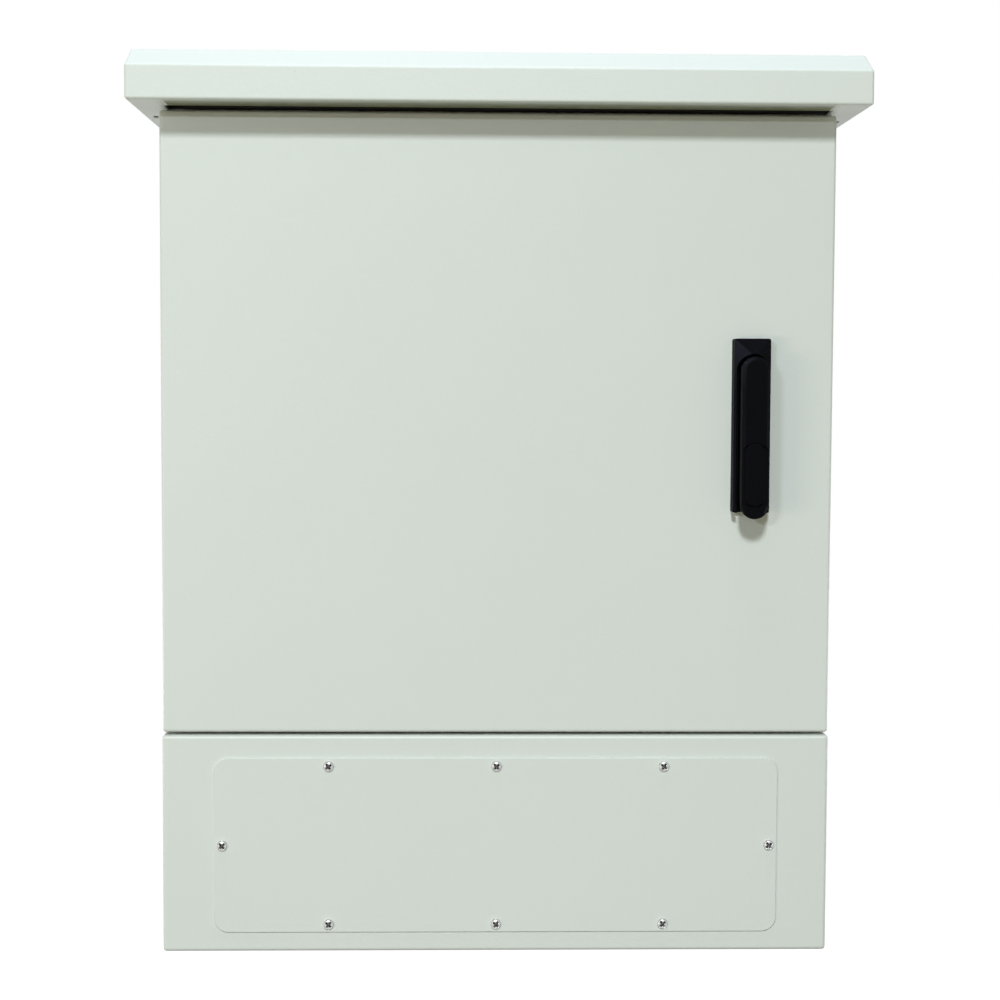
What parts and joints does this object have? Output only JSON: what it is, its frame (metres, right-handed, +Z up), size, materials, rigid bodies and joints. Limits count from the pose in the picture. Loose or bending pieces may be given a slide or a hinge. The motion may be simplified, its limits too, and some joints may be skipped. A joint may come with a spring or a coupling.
{
  "type": "roadside utility cabinet",
  "caption": "Pale grey steel street cabinet on a plinth, with a flush hinged door, swing handle with rod lock, overhanging rain roof and a screwed plinth cover.",
  "frame": {"origin": "middle of the plinth's footprint on the floor, which is the centre of its four anchor holes", "axes": "+X to the right as seen from the front, +Y to the back, +Z up"},
  "size_m": [0.696, 0.478, 0.8685],
  "materials": {
    "grey_powder_coat": "fine orange-peel powder coat, satin",
    "black_handle": "satin black",
    "stainless_screw": "bright stainless",
    "zinc_plated_steel": "bright zinc plate",
    "black_rubber": "matt",
    "galvanised_plate": "galvanised"
  },
  "bodies": {
    "cabinet": {"plinth": "grey_powder_coat", "plinth_cover": "grey_powder_coat", "plinth_cover_screws": "stainless_screw", "plinth_cover_nuts": "zinc_plated_steel", "plinth_bolts": "zinc_plated_steel", "plinth_nuts": "zinc_plated_steel", "side_panel_left": "grey_powder_coat", "side_panel_right": "grey_powder_coat", "back_panel": "grey_powder_coat", "top_plate": "grey_powder_coat", "floor_pan": "grey_powder_coat", "gland_plate": "galvanised_plate", "gland_screws": "stainless_screw", "cable_grommets": "black_rubber", "roof": "grey_powder_coat", "roof_rail_left": "galvanised_plate", "roof_rail_right": "galvanised_plate", "roof_bolts": "zinc_plated_steel", "roof_nuts": "zinc_plated_steel", "mounting_plate": "galvanised_plate", "plate_studs": "zinc_plated_steel", "plate_spacers": "zinc_plated_steel", "plate_nuts": "zinc_plated_steel", "hinge_body_upper": "zinc_plated_steel", "hinge_body_lower": "zinc_plated_steel", "hinge_pin_upper": "stainless_screw", "hinge_pin_lower": "stainless_screw", "hinge_screws": "stainless_screw"},
    "door": {"door": "grey_powder_coat", "door_gasket": "black_rubber", "door_stiffener_left": "galvanised_plate", "door_stiffener_right": "galvanised_plate", "hinge_door_upper": "zinc_plated_steel", "hinge_door_lower": "zinc_plated_steel", "handle_base": "black_handle", "handle_seal": "black_rubber", "lock_bracket": "zinc_plated_steel", "lock_nut": "zinc_plated_steel", "lock_screw": "stainless_screw", "rod_guide_upper": "zinc_plated_steel", "rod_guide_lower": "zinc_plated_steel"},
    "lock_spindle": {"handle_spindle": "black_handle", "rod_cam": "zinc_plated_steel", "cam_bolt": "zinc_plated_steel"},
    "lever": {"handle_lever": "black_handle", "lever_pin": "stainless_screw"},
    "dust_cover": {"dust_cover": "black_handle"},
    "key_plug": {"key_plug": "zinc_plated_steel"},
    "upper_rod": {"rod_upper": "zinc_plated_steel"},
    "lower_rod": {"rod_lower": "zinc_plated_steel"}
  },
  "joints": [
    {"name": "door_swing", "type": "hinge", "parent": "cabinet", "child": "door", "pos_m": [-0.314, -0.188, 0.51525], "axis": [0, 0, -1], "range_deg": [0, 110]},
    {"name": "handle_turn", "type": "hinge", "parent": "door", "child": "lock_spindle", "pos_m": [0.243, -0.2, 0.57545], "axis": [0, 1, 0], "range_deg": [0, 90]},
    {"name": "lever_lift", "type": "hinge", "parent": "lock_spindle", "child": "lever", "pos_m": [0.243, -0.2372, 0.57545], "axis": [-1, 0, 0], "range_deg": [0, 35]},
    {"name": "dust_cover_swing", "type": "hinge", "parent": "lever", "child": "dust_cover", "pos_m": [0.243, -0.243, 0.49165], "axis": [0, 1, 0], "range_deg": [0, 60]},
    {"name": "key_turn", "type": "hinge", "parent": "lever", "child": "key_plug", "pos_m": [0.243, -0.2415, 0.46365], "axis": [0, 1, 0], "range_deg": [0, 90]},
    {"name": "upper_rod_slide", "type": "slide", "parent": "door", "child": "upper_rod", "axis": [0, 0, 1], "range_m": [0, 0.0283]},
    {"name": "lower_rod_slide", "type": "slide", "parent": "door", "child": "lower_rod", "axis": [0, 0, -1], "range_m": [0, 0.0283]}
  ],
  "couplings": [
    {"joint": "upper_rod_slide", "follows": "handle_turn", "m_per_rad": 0.018006},
    {"joint": "lower_rod_slide", "follows": "handle_turn", "m_per_rad": 0.018006}
  ]
}
